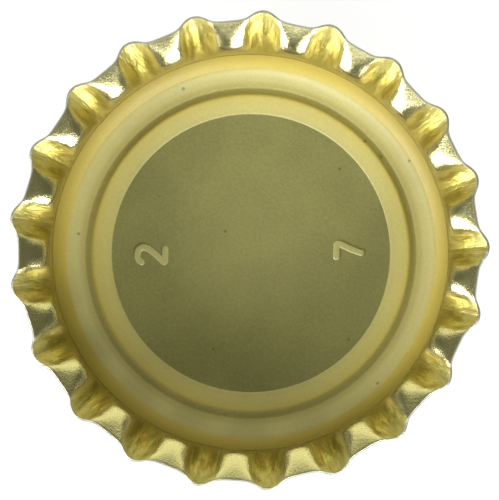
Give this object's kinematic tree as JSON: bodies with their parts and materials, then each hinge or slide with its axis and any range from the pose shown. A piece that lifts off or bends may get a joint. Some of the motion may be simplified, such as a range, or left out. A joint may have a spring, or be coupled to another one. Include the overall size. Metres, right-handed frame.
{
  "type": "crown cap",
  "caption": "Unused crown bottle cap lying mouth up: a shallow round tinplate shell with a fluted, flared skirt and a moulded sealing liner with raised rings inside.",
  "frame": {"origin": "apex of the outer panel, on the cap's axis; the cap rests there, mouth up", "axes": "+Z along the cap's axis, out of the mouth; +X through the middle of one tooth; +Y completes the right-handed frame"},
  "size_m": [0.032, 0.032, 0.006],
  "materials": {
    "lacquered_tinplate": "gloss",
    "liner_compound": "satin"
  },
  "bodies": {
    "root": {"crown_shell": "lacquered_tinplate", "sealing_liner": "liner_compound"}
  },
  "joints": []
}
